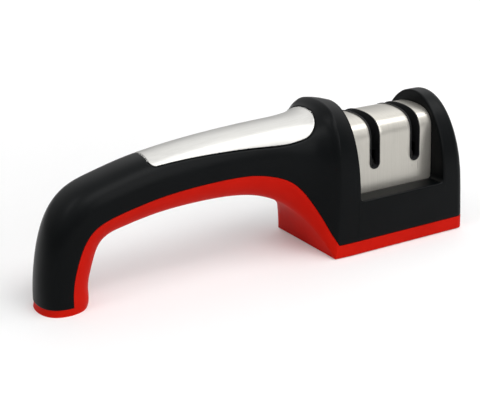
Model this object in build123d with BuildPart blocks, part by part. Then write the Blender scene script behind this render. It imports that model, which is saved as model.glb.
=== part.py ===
from build123d import *
import os
from math import cos, pi, radians, sin, tan

# Pull through knife sharpener: a hollow two-part body with a handle, and two stages of wheels.
# Millimetres, +Z up, origin on the table under the middle of the whole length. The handle runs
# towards -X and comes down to a foot, the head with its two slots stands at +X, and a knife is
# drawn through a slot along Y.

# Driving sizes of the whole sharpener
handle_reach = 132.0
foot_reach_share = 0.997
head_length = 74.4
head_width = 49.4
crest_height = 68.4
wall = 2.2
fit_clearance = 0.1
running_clearance = 0.05
overrun = 60.0

# Head: ears, sill and rim, measured from the head's left base edge and from the table
left_ear_inner = 13.0
right_ear_inner = 60.0
sill_height = 25.3
left_ear_height = 66.4
right_ear_height = 64.4
rim_height = 6.5
base_lift = 0.4
end_top_inset = 4.6
end_edge_radius = 4.2
end_round_steps = 4
chamber_overlap = 0.5
left_crown_share = 0.60
right_crown_share = 0.56
belly_share = 0.60
flat_share = 0.975
foot_rim_height = 3.0

# Hood: the arched steel cover between the ears and the guide under it
hood_foot_half = 15.5
hood_shoulder_half = 14.7
hood_shoulder_height = 48.0
hood_top = 58.8
hood_crown_share = 0.72
cover_thickness = 0.8
slot_width = 5.5
slot_bottom = 35.5
guide_wall = 2.0
guide_bottom = 17.0
rim_width = 0.45
rim_stand = 0.3
plate_bottom = 43.0
plate_thickness = 1.5
flange_thickness = 2.1
flange_reach = 1.2

# Sharpening stages, from the head's left base edge
coarse_slot_place = 27.3
fine_slot_place = 50.2
axle_height = 30.5
axle_radius = 1.5
axle_half_length = 8.0
axle_edge = 0.2
wheel_radius = 11.0
groove_radius = 6.5
cone_angle = 20.0
wheel_thickness = 4.5
wheel_edge = 0.4
wheel_dish_radius = 8.4
wheel_dish_depth = 1.2
hub_radius = 3.5
hub_half_length = 4.8
hub_clearance = 0.02
hub_collar_radius = 4.6
hub_collar_length = 0.9
washer_radius = 4.0
washer_gap = 0.2
washer_thickness = 0.5
cheek_gap = 0.1
cheek_thickness = 1.5
cheek_half = 5.0
carrier_thickness = 2.5
clip_gap = 0.1
clip_thickness = 0.6
clip_radius = 3.2
clip_mouth = 1.7

# Carrier screws, from the guide's left end, the middle of the stages and the middle plane
carrier_screw_setback = 2.6
carrier_screw_half = 10.8
carrier_boss_radius = 2.5
carrier_boss_height = 11.0
carrier_screw_radius = 1.2
carrier_screw_length = 9.5
carrier_head_radius = 2.3
carrier_head_height = 1.5

# Base: pad, pillars and the four screws under it
pad_thickness = 1.5
pad_end_margin = 4.0
pad_side_margin = 4.7
pad_corner = 4.0
pillar_radius = 3.0
pillar_half = 9.0
screw_offset = 2.0
screw_half = 15.0
screw_radius = 1.5
screw_head_radius = 2.8
screw_head_height = 1.8
screw_length = 14.0
screw_boss_radius = 3.2
screw_boss_top = 28.0
seat_thickness = 2.2
seat_border = 1.0
head_clearance = 0.2

# Handle: its two screws and the steel inlay on its top, measured from the head's left base edge
handle_screw_place = 40.0
foot_screw_place = 121.7
handle_screw_length = 12.0
head_sink = 0.3
foot_boss_top = 17.5
foot_rib_reach = 7.9
rib_thickness = 1.6
inlay_left = 81.5
inlay_nose = -1.0
inlay_nose_length = 8.5
inlay_left_half = 9.6
inlay_right_half = 14.0
inlay_corner = 2.6
inlay_nose_share = 0.75
inlay_prism_share = 0.62
inlay_thickness = 0.8
inlay_gap = 0.15
stud_places = (72.0, 22.0)
stud_radius = 1.5
stud_boss_radius = 4.2
stud_boss_depth = 5.0
stud_length = 8.0

# Places worked out from the sizes above
half_width = head_width / 2
half_slot = slot_width / 2
head_left = (foot_reach_share * handle_reach - head_length) / 2
head_right = head_left + head_length
ear_left_x = head_left + left_ear_inner
ear_right_x = head_left + right_ear_inner
stage_x = {"coarse": head_left + coarse_slot_place, "fine": head_left + fine_slot_place}
deck_under = sill_height - wall
flange_top = deck_under - fit_clearance
guide_inset = cover_thickness + fit_clearance
guide_left = ear_left_x + 2 * fit_clearance
guide_right = ear_right_x - 2 * fit_clearance
guide_half = hood_foot_half - guide_inset
channel_half = half_slot - running_clearance - rim_width
channel_bottom = slot_bottom + running_clearance + rim_width
carrier_bottom = guide_bottom - carrier_thickness
washer_start = hub_half_length + washer_gap
cheek_start = washer_start + washer_thickness + cheek_gap
clip_start = cheek_start + cheek_thickness + clip_gap
pad_recess_top = pad_thickness + fit_clearance
base_seat = pad_recess_top + screw_head_height + fit_clearance
foot_seat = head_sink + screw_head_height
handle_screw_x = head_left - handle_screw_place
foot_screw_x = head_left - foot_screw_place
stud_xs = [head_left - place for place in stud_places]
seat_radius = screw_head_radius + head_clearance + seat_border
head_bore_radius = screw_head_radius + head_clearance
pad_length = head_length - 2 * pad_end_margin
pad_width = head_width - 2 * pad_side_margin
pad_middle = (head_left + head_right) / 2
base_screw_xs = (ear_left_x - wall - screw_offset, ear_right_x + wall + screw_offset)
base_screw_places = [(x, y) for x in base_screw_xs for y in (-screw_half, screw_half)]
carrier_screw_xs = (guide_left + carrier_screw_setback, (stage_x["coarse"] + stage_x["fine"]) / 2)
carrier_screw_ys = (-carrier_screw_half, carrier_screw_half)
carrier_screw_places = [(x, y) for x in carrier_screw_xs for y in carrier_screw_ys]
upright = (Align.CENTER, Align.CENTER, Align.MIN)

# Cross sections from the foot to the left ear. Each row gives the bottom point (x, z) and the
# top point (x, z) on the middle plane, the half width, the height of the widest point, how full
# the crown and the belly are, and how wide the flat underneath is. x is a share of the handle's
# reach from the head's left edge, z of the crest height, the half width of half the head's, the
# widest point of the section's height, and the flat of the section's own half width.
station_shares = (
    (-0.840, 0.000, -foot_reach_share, 0.000, 0.490, 0.50, 0.63, 0.60, 0.10),
    (-0.833, 0.110, -0.993, 0.139, 0.490, 0.50, 0.63, 0.60, 0.10),
    (-0.818, 0.234, -0.982, 0.289, 0.494, 0.50, 0.63, 0.60, 0.10),
    (-0.799, 0.330, -0.961, 0.450, 0.498, 0.50, 0.63, 0.60, 0.10),
    (-0.777, 0.388, -0.923, 0.605, 0.504, 0.50, 0.63, 0.60, 0.10),
    (-0.746, 0.418, -0.862, 0.717, 0.510, 0.50, 0.63, 0.60, 0.10),
    (-0.708, 0.435, -0.776, 0.778, 0.514, 0.50, 0.63, 0.60, 0.10),
    (-0.636, 0.461, -0.674, 0.827, 0.518, 0.50, 0.63, 0.60, 0.10),
    (-0.545, 0.481, -0.567, 0.862, 0.526, 0.50, 0.63, 0.60, 0.10),
    (-0.447, 0.488, -0.457, 0.886, 0.538, 0.50, 0.63, 0.60, 0.10),
    (-0.348, 0.484, -0.348, 0.902, 0.553, 0.50, 0.63, 0.60, 0.11),
    (-0.258, 0.463, -0.250, 0.912, 0.573, 0.50, 0.63, 0.60, 0.13),
    (-0.182, 0.420, -0.170, 0.917, 0.598, 0.50, 0.63, 0.60, 0.18),
    (-0.125, 0.363, -0.114, 0.920, 0.638, 0.49, 0.64, 0.60, 0.27),
    (-0.083, 0.298, -0.068, 0.925, 0.695, 0.48, 0.66, 0.60, 0.40),
    (-0.055, 0.237, -0.034, 0.934, 0.762, 0.46, 0.68, 0.60, 0.55),
    (-0.033, 0.167, -0.009, 0.949, 0.838, 0.44, 0.71, 0.60, 0.71),
    (-0.017, 0.095, 0.010, 0.970, 0.908, 0.41, 0.73, 0.60, 0.84),
    (-0.006, 0.040, 0.022, 0.988, 0.956, 0.39, 0.75, 0.60, 0.93),
    (0.000, 0.006, 0.032, 1.000, 0.982, 0.37, 0.75, 0.60, 0.97),
    (0.030, 0.006, 0.052, 0.996, 0.991, 0.37, 0.70, 0.60, 0.975),
)
bend_station = 5
ridge_station = 19

# Line between the upper and the lower shell on the handle and the head's left side, by the same
# shares as the stations, from the foot's inner side to the corner above the rim.
seam_shares = (
    (-0.897, 0.212),
    (-0.878, 0.328),
    (-0.853, 0.427),
    (-0.818, 0.500),
    (-0.767, 0.544),
    (-0.686, 0.582),
    (-0.605, 0.611),
    (-0.478, 0.636),
    (-0.351, 0.643),
    (-0.261, 0.632),
    (-0.197, 0.602),
    (-0.136, 0.551),
    (-0.093, 0.477),
    (-0.058, 0.380),
    (-0.024, 0.250),
    (-0.007, 0.167),
)
seam_foot_share = -0.906
seam_corner_share = 0.013


def share_point(x_share, z_share):
    """Point on the middle plane from shares of the reach and of the crest height."""
    return Vector(head_left + x_share * handle_reach, 0, z_share * crest_height)


def profile_height(x, column):
    """Height of the handle's bottom (column 0) or top (column 2) over x, past its bend."""
    points = [share_point(row[column], row[column + 1]) for row in station_shares[bend_station:]]
    for before, after in zip(points, points[1:]):
        if before.X <= x <= after.X:
            return before.Z + (after.Z - before.Z) * (x - before.X) / (after.X - before.X)
    return points[-1].Z


handle_seat = profile_height(handle_screw_x, 0) + foot_seat


def moved_inwards(points, inset, side):
    """Points of a curve on the middle plane, each moved square to the curve by the inset."""
    moved = []
    for number, point in enumerate(points):
        before = points[max(number - 1, 0)]
        after = points[min(number + 1, len(points) - 1)]
        along = (after - before).normalized()
        moved.append(point + Vector(-along.Z, 0, along.X) * inset * side)
    return moved


def belly_outline(half, waist, belly, flat):
    """Sides and flat underside of a section, from its widest points down."""
    edge = flat * half
    under = edge + belly * (half - edge)
    side = waist - belly * waist
    Bezier((-half, waist), (-half, side), (-under, 0), (-edge, 0))
    Line((-edge, 0), (edge, 0))
    Bezier((edge, 0), (under, 0), (half, side), (half, waist))


def section_outline(half, waist, top, crown, belly, flat):
    """Whole outline of a section that is `top` high and widest at `waist`."""
    rise = top - waist
    Bezier((half, waist), (half, waist + crown * rise), (crown * half, top), (0, top))
    Bezier((0, top), (-crown * half, top), (-half, waist + crown * rise), (-half, waist))
    belly_outline(half, waist, belly, flat)


def head_plane(x, height):
    """Plane across the head at x, with its origin on the middle plane at the height."""
    return Plane(origin=(x, 0, height), x_dir=(0, 1, 0), z_dir=(1, 0, 0))


def section_plane(bottom, top):
    """Plane of a cross section, with its origin at the bottom point and local y to the top."""
    across = Vector(0, 1, 0)
    return Plane(origin=bottom, x_dir=across, z_dir=across.cross(top - bottom))


def handle_sections(inset):
    """Sections from the foot to the left ear: low and high points, half width, waist, shares."""
    bottoms = [share_point(row[0], row[1]) for row in station_shares]
    tops = [share_point(row[2], row[3]) for row in station_shares]
    inner_bottoms = moved_inwards(bottoms, inset, 1)
    inner_tops = moved_inwards(tops, inset, -1)
    inner_bottoms[ridge_station].X = bottoms[ridge_station].X + inset
    sections = []
    for row, bottom, top, low, high in zip(station_shares, bottoms, tops, inner_bottoms, inner_tops):
        waist = row[5] * (top - bottom).length - (low - bottom).dot((top - bottom).normalized())
        sections.append((low, high, row[4] * half_width - inset, waist, row[6:9]))
    ear_low = Vector(ear_left_x - inset, 0, base_lift + inset)
    ear_high = Vector(ear_left_x - inset, 0, left_ear_height - inset)
    ear_waist = sill_height - base_lift - inset
    ear_shares = (left_crown_share, belly_share, flat_share)
    sections.append((ear_low, ear_high, half_width - inset, ear_waist, ear_shares))
    return sections


def lofted(sections):
    """Solid through the given sections."""
    with BuildPart() as form:
        for low, high, half, waist, shares in sections:
            with BuildSketch(section_plane(low, high)):
                with BuildLine():
                    section_outline(half, waist, (high - low).length, *shares)
                make_face()
        loft()
    return form.part


def handle_form(inset):
    """Handle from the foot to the ridge where the left ear begins, drawn in by the inset."""
    return lofted(handle_sections(inset)[: ridge_station + 1])


def left_ear_chamber():
    """Hollow of the left ear, which starts a little way inside the handle's hollow."""
    sections = handle_sections(wall)
    low, high, half, waist, shares = sections[ridge_station]
    start_low = low + Vector(-chamber_overlap, 0, chamber_overlap / 2)
    start_high = high - Vector(chamber_overlap, 0, 2 * chamber_overlap)
    start = (start_low, start_high, half - chamber_overlap / 4, waist, shares)
    return lofted([start, sections[-1]])


def deck_form(inset):
    """Head between the ears up to the sill, drawn in by the inset."""
    half = half_width - inset
    full_waist = sill_height - base_lift
    with BuildPart() as form:
        with BuildSketch(head_plane(ear_left_x, base_lift + inset)):
            with BuildLine():
                belly_outline(half, full_waist - inset, belly_share, flat_share)
                Line((half, full_waist - inset), (-half, full_waist - inset))
            make_face()
        extrude(amount=ear_right_x - ear_left_x)
        if inset > 0:
            split(bisect_by=Plane.XY.offset(sill_height - inset), keep=Keep.BOTTOM)
    return form.part


def right_ear_form(inset, edge_radius):
    """Right ear with the leaning end face, drawn in by the inset, its end edges rounded."""
    floor = base_lift + inset
    start = ear_right_x + inset
    end_low = head_right - inset - edge_radius
    end_high = end_low - end_top_inset
    places = [(start, start, 0), (end_low, end_high, 0)]
    for step in range(1, end_round_steps + 1):
        turn = step / end_round_steps * pi / 2
        travel = edge_radius * sin(turn)
        places.append((end_low + travel, end_high + travel, edge_radius * (1 - cos(turn))))
    shares = (right_crown_share, belly_share, flat_share)
    sections = []
    for low_x, high_x, drop in places:
        low = Vector(low_x, 0, floor)
        high = Vector(high_x, 0, right_ear_height - inset - drop)
        sections.append((low, high, half_width - inset - drop, sill_height - floor, shares))
    if edge_radius == 0:
        return lofted(sections[:2])
    return lofted(sections[:2]) + lofted(sections[1:])


def lower_region():
    """Everything below the line between the two shells."""
    foot_corner = share_point(seam_foot_share, 0).X
    rim_corner = share_point(seam_corner_share, 0).X
    outside = head_left - handle_reach - overrun
    beyond = head_right + overrun
    seam_points = [share_point(*shares) for shares in seam_shares]
    curve = [(point.X, point.Z) for point in seam_points]
    with BuildPart() as region:
        with BuildSketch(Plane.XZ):
            with BuildLine():
                Spline((foot_corner, foot_rim_height), *curve, (rim_corner, rim_height))
                Polyline(
                    (rim_corner, rim_height),
                    (beyond, rim_height),
                    (beyond, -overrun),
                    (outside, -overrun),
                    (outside, foot_rim_height),
                    (foot_corner, foot_rim_height),
                )
            make_face()
        extrude(amount=overrun, both=True)
    return region.part


def hood_form(inset, start, end, bottom):
    """Solid arch across the head, drawn in by the inset, from the bottom height up."""
    foot = hood_foot_half - inset
    shoulder = hood_shoulder_half - inset
    top = hood_top - inset
    start_z = hood_shoulder_height
    curve_z = start_z + hood_crown_share * (top - start_z)
    curve_y = hood_crown_share * shoulder
    with BuildPart() as form:
        with BuildSketch(head_plane(start, 0)):
            with BuildLine():
                Bezier((shoulder, start_z), (shoulder, curve_z), (curve_y, top), (0, top))
                Bezier((0, top), (-curve_y, top), (-shoulder, curve_z), (-shoulder, start_z))
                Polyline(
                    (-shoulder, start_z),
                    (-foot, sill_height),
                    (-foot, bottom),
                    (foot, bottom),
                    (foot, sill_height),
                    (shoulder, start_z),
                )
            make_face()
        extrude(amount=end - start)
    return form.part


def slot_form(half, bottom):
    """Upright slots through the hood at both stages, round at the bottom and open at the top."""
    with BuildPart() as form:
        with BuildSketch(Plane.XZ):
            for centre in stage_x.values():
                with Locations((centre, bottom + half)):
                    Circle(half)
                    Rectangle(2 * half, overrun, align=(Align.CENTER, Align.MIN))
        extrude(amount=head_width, both=True)
    return form.part


def inlay_prism(gap):
    """Upright prism of the inlay's plan outline, drawn in by the gap."""
    left = head_left - inlay_left + gap
    nose = head_left + inlay_nose - gap
    shoulder = head_left + inlay_nose - inlay_nose_length
    near = inlay_left_half - gap
    far = inlay_right_half - gap
    nose_x = shoulder + inlay_nose_share * (nose - shoulder)
    nose_half = inlay_nose_share * far
    with BuildPart() as prism:
        with BuildSketch(Plane.XY.offset(inlay_prism_share * crest_height)):
            with BuildLine():
                Polyline((shoulder, -far), (left, -near), (left, near), (shoulder, far))
                Bezier((shoulder, far), (nose_x, far), (nose, nose_half), (nose, 0))
                Bezier((nose, 0), (nose, -nose_half), (nose_x, -far), (shoulder, -far))
            make_face()
            end_corners = vertices().group_by(Axis.X)[0]
            fillet(end_corners, inlay_corner)
        extrude(amount=crest_height)
    return prism.part


def post(x, y, bottom, top, radius, mode=Mode.ADD):
    """Upright cylinder between two heights, joined to or cut from the piece being built."""
    with Locations((x, y, bottom)):
        Cylinder(radius, top - bottom, align=upright, mode=mode)


def block(x_range, y_range, z_range, mode=Mode.ADD):
    """Box between the given limits, joined to or cut from the piece being built."""
    low, high = (Vector(*corner) for corner in zip(x_range, y_range, z_range))
    with Locations((low + high) / 2):
        Box(*(high - low), mode=mode)


def disc(start, end, radius, mode=Mode.ADD):
    """Cylinder round the axle line between two places along X."""
    with Locations(Location((start, 0, axle_height), (0, 90, 0))):
        Cylinder(radius, end - start, align=upright, mode=mode)


def screw(x, y, seat, head_radius, head_height, radius, length):
    """Upright screw whose head lies under its seat, with a cross cut in the head."""
    cut_length = head_radius + radius
    cut_width = radius / 2
    post(x, y, seat - head_height, seat, head_radius)
    post(x, y, seat, seat + length, radius)
    for reach_x, reach_y in ((cut_length, cut_width), (cut_width, cut_length)):
        x_range = (x - reach_x / 2, x + reach_x / 2)
        y_range = (y - reach_y / 2, y + reach_y / 2)
        z_range = (seat - head_height, seat - head_height / 2)
        block(x_range, y_range, z_range, mode=Mode.SUBTRACT)


def finish(piece, name):
    """Label a finished piece and write its file."""
    piece.part.label = name
    export_step(piece.part, f"parts/{name}.step")


os.makedirs("parts", exist_ok=True)

# Body: the outside, hollowed in three chambers whose walls run down from the ears
handle_outside = handle_form(0)
left_ear_outside = lofted(handle_sections(0)[ridge_station:])
deck_outside = deck_form(0)
right_ear_outside = right_ear_form(0, end_edge_radius)
handle_chamber = handle_form(wall)
left_chamber = left_ear_chamber()
deck_chamber = deck_form(wall)
right_ear_chamber = right_ear_form(wall, 0)
below_seam = lower_region()

with BuildPart() as handle_hollow:
    add(handle_chamber)
    split(bisect_by=Plane.XY.offset(wall), keep=Keep.TOP)

with BuildPart() as body:
    add(right_ear_outside)
    add(deck_outside)
    add(left_ear_outside)
    add(handle_outside)
    add(handle_hollow.part, mode=Mode.SUBTRACT)
    add(left_chamber, mode=Mode.SUBTRACT)
    add(deck_chamber, mode=Mode.SUBTRACT)
    add(right_ear_chamber, mode=Mode.SUBTRACT)

# Inlay: a steel plate that follows the handle's top, on two studs
recess_prism = inlay_prism(0)
recess_floor = handle_form(inlay_thickness + inlay_gap)
plate_prism = inlay_prism(inlay_gap)
plate_floor = handle_form(inlay_thickness)

with BuildPart() as recess:
    add(recess_prism)
    add(recess_floor, mode=Mode.SUBTRACT)

with BuildPart() as handle_inlay:
    add(handle_outside)
    add(plate_prism, mode=Mode.INTERSECT)
    add(plate_floor, mode=Mode.SUBTRACT)
    for x in stud_xs:
        roof = profile_height(x, 2)
        post(x, 0, roof - stud_length, roof - inlay_thickness / 2, stud_radius)
finish(handle_inlay, "handle_inlay")

with BuildPart() as inlay_clips:
    for x in stud_xs:
        seat = profile_height(x, 2) - stud_boss_depth
        post(x, 0, seat - clip_thickness, seat, clip_radius)
        post(x, 0, seat - clip_thickness, seat, stud_radius + running_clearance, Mode.SUBTRACT)
        mouth = (-clip_mouth / 2, clip_mouth / 2)
        block((x, x + clip_radius), mouth, (seat - clip_thickness, seat), Mode.SUBTRACT)
finish(inlay_clips, "inlay_clips")

# Upper shell: head walls, ears, sill and the handle's top, with the bosses for the screws
with BuildPart() as upper_shell:
    add(body.part)
    add(below_seam, mode=Mode.SUBTRACT)
    window_half = hood_foot_half + fit_clearance
    window_heights = (deck_under - wall, sill_height + wall)
    block((ear_left_x, ear_right_x), (-window_half, window_half), window_heights, Mode.SUBTRACT)
    for x, y in base_screw_places:
        post(x, y, rim_height, screw_boss_top, screw_boss_radius)
    for x in stud_xs:
        roof = profile_height(x, 2)
        post(x, 0, roof - stud_boss_depth, roof - wall / 2, stud_boss_radius)
    handle_boss_foot = handle_seat + seat_thickness + fit_clearance
    handle_boss_top = profile_height(handle_screw_x, 2) - wall / 2
    post(handle_screw_x, 0, handle_boss_foot, handle_boss_top, screw_boss_radius)
    foot_boss_foot = foot_seat + seat_thickness + fit_clearance
    post(foot_screw_x, 0, foot_boss_foot, foot_boss_top, screw_boss_radius)
    rib_x = (foot_screw_x - foot_rib_reach, foot_screw_x)
    block(rib_x, (-rib_thickness / 2, rib_thickness / 2), (foot_boss_foot, foot_boss_top))
    add(recess.part, mode=Mode.SUBTRACT)
    for x in stud_xs:
        roof = profile_height(x, 2)
        post(x, 0, roof - stud_length, roof, stud_radius + fit_clearance, Mode.SUBTRACT)
    for x, y in base_screw_places:
        bore_end = base_seat + screw_length + wall
        post(x, y, base_seat, bore_end, screw_radius + running_clearance, Mode.SUBTRACT)
    for x, seat in ((handle_screw_x, handle_seat), (foot_screw_x, foot_seat)):
        bore_end = seat + handle_screw_length + wall
        post(x, 0, seat + seat_thickness, bore_end, screw_radius + running_clearance, Mode.SUBTRACT)
finish(upper_shell, "upper_shell")

# Lower shell: arch, inner side of the handle, rim and floor, with the pad's recess and the seats
with BuildPart() as lower_shell:
    add(body.part)
    add(below_seam, mode=Mode.INTERSECT)
    with BuildSketch(Plane.XY):
        with Locations((pad_middle, 0)):
            RectangleRounded(pad_length + 2 * fit_clearance, pad_width + 2 * fit_clearance, pad_corner)
    extrude(amount=pad_recess_top, mode=Mode.SUBTRACT)
    for centre in stage_x.values():
        for y in (-pillar_half, pillar_half):
            post(centre, y, pad_recess_top, carrier_bottom - fit_clearance, pillar_radius)
    for x, y in base_screw_places:
        post(x, y, pad_recess_top, base_seat + seat_thickness, seat_radius)
        post(x, y, 0, base_seat, head_bore_radius, Mode.SUBTRACT)
        post(x, y, 0, base_seat + overrun, screw_radius + fit_clearance, Mode.SUBTRACT)
    for x, seat in ((handle_screw_x, handle_seat), (foot_screw_x, foot_seat)):
        post(x, 0, seat - wall / 2, seat + seat_thickness, seat_radius)
        post(x, 0, seat - 2 * wall, seat, head_bore_radius, Mode.SUBTRACT)
        post(x, 0, seat - 2 * wall, seat + 2 * seat_thickness, screw_radius + fit_clearance, Mode.SUBTRACT)
finish(lower_shell, "lower_shell")

with BuildPart() as base_screws:
    for x, y in base_screw_places:
        screw(x, y, base_seat, screw_head_radius, screw_head_height, screw_radius, screw_length)
finish(base_screws, "base_screws")

with BuildPart() as handle_screws:
    for x, seat in ((handle_screw_x, handle_seat), (foot_screw_x, foot_seat)):
        screw(x, 0, seat, screw_head_radius, screw_head_height, screw_radius, handle_screw_length)
finish(handle_screws, "handle_screws")

with BuildPart() as base_pad:
    with BuildSketch(Plane.XY):
        with Locations((pad_middle, 0)):
            RectangleRounded(pad_length, pad_width, pad_corner)
    extrude(amount=pad_thickness)
finish(base_pad, "base_pad")

# Head cover: a bent steel sheet with two slots, its edges tucked into the sill's window
cover_left = ear_left_x + fit_clearance
cover_right = ear_right_x - fit_clearance
cover_outside = hood_form(0, cover_left, cover_right, flange_top)
cover_inside = hood_form(cover_thickness, ear_left_x, ear_right_x, flange_top - wall)
cover_slots = slot_form(half_slot, slot_bottom)

with BuildPart() as head_cover:
    add(cover_outside)
    add(cover_inside, mode=Mode.SUBTRACT)
    add(cover_slots, mode=Mode.SUBTRACT)
finish(head_cover, "head_cover")

# Blade guide: the plastic core under the cover, whose slot linings stand out as thin rims
guide_outside = hood_form(guide_inset, guide_left, guide_right, guide_bottom)
guide_inside = hood_form(guide_inset + guide_wall, ear_left_x, ear_right_x, guide_bottom - wall)
rim_outside = hood_form(-rim_stand, guide_left, guide_right, deck_under)
rim_slots = slot_form(half_slot - running_clearance, slot_bottom + running_clearance)
channels = slot_form(channel_half, channel_bottom)

with BuildPart() as guide_rims:
    add(rim_slots)
    add(rim_outside, mode=Mode.INTERSECT)
    add(guide_inside, mode=Mode.SUBTRACT)

with BuildPart() as guide_plates:
    for centre in stage_x.values():
        plate_half = channel_half + plate_thickness
        plate_x = (centre - plate_half, centre + plate_half)
        block(plate_x, (-guide_half, guide_half), (plate_bottom, hood_top))
    add(guide_outside, mode=Mode.INTERSECT)

with BuildPart() as blade_guide:
    add(guide_outside)
    add(guide_inside, mode=Mode.SUBTRACT)
    add(guide_rims.part)
    add(guide_plates.part)
    flange_heights = (flange_top - flange_thickness, flange_top)
    flange_near = guide_half - guide_wall / 2
    flange_far = hood_foot_half + fit_clearance + flange_reach
    for near, far in ((flange_near, flange_far), (-flange_far, -flange_near)):
        block((guide_left, guide_right), (near, far), flange_heights)
    for x, y in carrier_screw_places:
        post(x, y, guide_bottom, guide_bottom + carrier_boss_height, carrier_boss_radius)
    add(channels, mode=Mode.SUBTRACT)
    for x, y in carrier_screw_places:
        bore_end = carrier_bottom + carrier_screw_length + carrier_screw_radius
        post(x, y, guide_bottom, bore_end, carrier_screw_radius + running_clearance, Mode.SUBTRACT)
finish(blade_guide, "blade_guide")

# Wheel carrier: the plate under the guide with a pair of cheeks for each axle
with BuildPart() as wheel_carrier:
    block((guide_left, guide_right), (-guide_half, guide_half), (carrier_bottom, guide_bottom))
    for centre in stage_x.values():
        for start in (centre - cheek_start - cheek_thickness, centre + cheek_start):
            cheek_x = (start, start + cheek_thickness)
            block(cheek_x, (-cheek_half, cheek_half), (guide_bottom, axle_height))
            disc(*cheek_x, cheek_half)
            disc(*cheek_x, axle_radius + running_clearance, Mode.SUBTRACT)
    for x, y in carrier_screw_places:
        bore_radius = carrier_screw_radius + fit_clearance
        post(x, y, carrier_bottom, guide_bottom, bore_radius, Mode.SUBTRACT)
finish(wheel_carrier, "wheel_carrier")

with BuildPart() as carrier_screws:
    for x, y in carrier_screw_places:
        screw(
            x,
            y,
            carrier_bottom,
            carrier_head_radius,
            carrier_head_height,
            carrier_screw_radius,
            carrier_screw_length,
        )
finish(carrier_screws, "carrier_screws")

# Stages: an axle, washers, a hub and a pair of cone-faced wheels under each slot
cone_run = (wheel_radius - groove_radius) * tan(radians(cone_angle))
dish_floor = wheel_thickness - wheel_dish_depth

for stage, centre in stage_x.items():
    with BuildPart() as axle:
        disc(centre - axle_half_length, centre + axle_half_length, axle_radius)
        chamfer(axle.edges().filter_by(GeomType.CIRCLE), axle_edge)
    finish(axle, f"{stage}_axle")

    with BuildPart() as washers:
        for start in (centre - washer_start - washer_thickness, centre + washer_start):
            disc(start, start + washer_thickness, washer_radius)
            disc(start, start + washer_thickness, axle_radius + running_clearance, Mode.SUBTRACT)
    finish(washers, f"{stage}_washers")

    with BuildPart() as hub:
        hub_ends = (centre - hub_half_length, centre + hub_half_length)
        disc(*hub_ends, hub_radius)
        disc(centre - dish_floor - hub_collar_length, centre - dish_floor, hub_collar_radius)
        disc(*hub_ends, axle_radius + running_clearance, Mode.SUBTRACT)
    finish(hub, f"{stage}_hub")

    for side, direction in (("left", -1), ("right", 1)):
        bore = hub_radius + hub_clearance
        profile = (
            (0, bore),
            (0, groove_radius),
            (cone_run, wheel_radius),
            (wheel_thickness - wheel_edge, wheel_radius),
            (wheel_thickness, wheel_radius - wheel_edge),
            (wheel_thickness, wheel_dish_radius),
            (dish_floor, wheel_dish_radius),
            (dish_floor, bore),
        )
        with BuildPart() as wheel:
            with BuildSketch(Plane.XZ):
                with BuildLine():
                    Polyline([(centre + direction * x, axle_height + z) for x, z in profile], close=True)
                make_face()
            revolve(axis=Axis((0, 0, axle_height), (1, 0, 0)))
        finish(wheel, f"{stage}_wheel_{side}")

with BuildPart() as axle_clips:
    for centre in stage_x.values():
        for start in (centre - clip_start - clip_thickness, centre + clip_start):
            clip_x = (start, start + clip_thickness)
            disc(*clip_x, clip_radius)
            disc(*clip_x, axle_radius + running_clearance, Mode.SUBTRACT)
            mouth = (-clip_mouth / 2, clip_mouth / 2)
            block(clip_x, mouth, (axle_height - clip_radius, axle_height), Mode.SUBTRACT)
finish(axle_clips, "axle_clips")
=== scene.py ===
"""Pull through knife sharpener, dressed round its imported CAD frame.

Sizes in the classes are millimetres in the frame of the part: +X from the foot towards the
head, +Z up, the table at zero. Meshes are scaled to metres when they are made. The studio's
sizes and those of the finishes are metres.
"""

import logging
import math
from collections.abc import Callable
from dataclasses import dataclass, field
from enum import Enum
from typing import Any

import bmesh
import bpy
import numpy as np
from mathutils import Matrix, Vector


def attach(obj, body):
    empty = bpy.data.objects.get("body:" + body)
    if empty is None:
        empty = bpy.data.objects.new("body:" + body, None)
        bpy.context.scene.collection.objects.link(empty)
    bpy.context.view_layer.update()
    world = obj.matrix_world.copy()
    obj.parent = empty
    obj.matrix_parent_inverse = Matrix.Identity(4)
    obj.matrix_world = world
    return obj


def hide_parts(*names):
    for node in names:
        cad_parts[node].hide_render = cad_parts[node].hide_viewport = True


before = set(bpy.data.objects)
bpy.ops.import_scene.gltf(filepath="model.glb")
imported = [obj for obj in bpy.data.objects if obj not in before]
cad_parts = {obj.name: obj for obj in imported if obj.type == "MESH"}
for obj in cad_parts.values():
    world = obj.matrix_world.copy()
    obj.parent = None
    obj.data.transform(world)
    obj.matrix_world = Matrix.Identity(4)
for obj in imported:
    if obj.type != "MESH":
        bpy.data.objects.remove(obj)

logging.basicConfig(level=logging.INFO, format="%(levelname)s %(message)s")
LOG = logging.getLogger("sharpener")

MM = 0.001
FIXED_BODY = "sharpener"
Socket = Any
Array = np.ndarray
Colour = Point = tuple[float, float, float]

# Most values of a noise lie between these two.
NOISE_LOW, NOISE_HIGH = 0.3, 0.7
# Sockets of a Mix node that is set to colours.
MIX_FACTOR, MIX_FIRST, MIX_SECOND, MIX_RESULT = 0, 6, 7, 2
# Columns of a section: x and height of its low and its high point, half width, height of its
# waist as a share, fullness of its crown and of its belly, and width of its flat as a share.
LOW, HIGH = slice(0, 2), slice(2, 4)
HALF, WAIST, CROWN, BELLY, FLAT = range(4, 9)
# Last turn round a section, at its low point in the middle plane.
LAST_TURN = 3.0
# Step that a change is measured over, and times that a range is halved, to solve for a place.
SMALL_STEP = 1e-4
HALVINGS = 36
# Distances in millimetres under which points become one and faces count as empty, and the
# length under which a normal counts as none.
MERGE, EMPTY, NO_LENGTH = 0.002, 0.0005, 1e-12
# Rounded edges: faces across, and the angle in degrees from which an edge is rounded.
EDGE_FACES, EDGE_ANGLE = 2, 50.0


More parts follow.
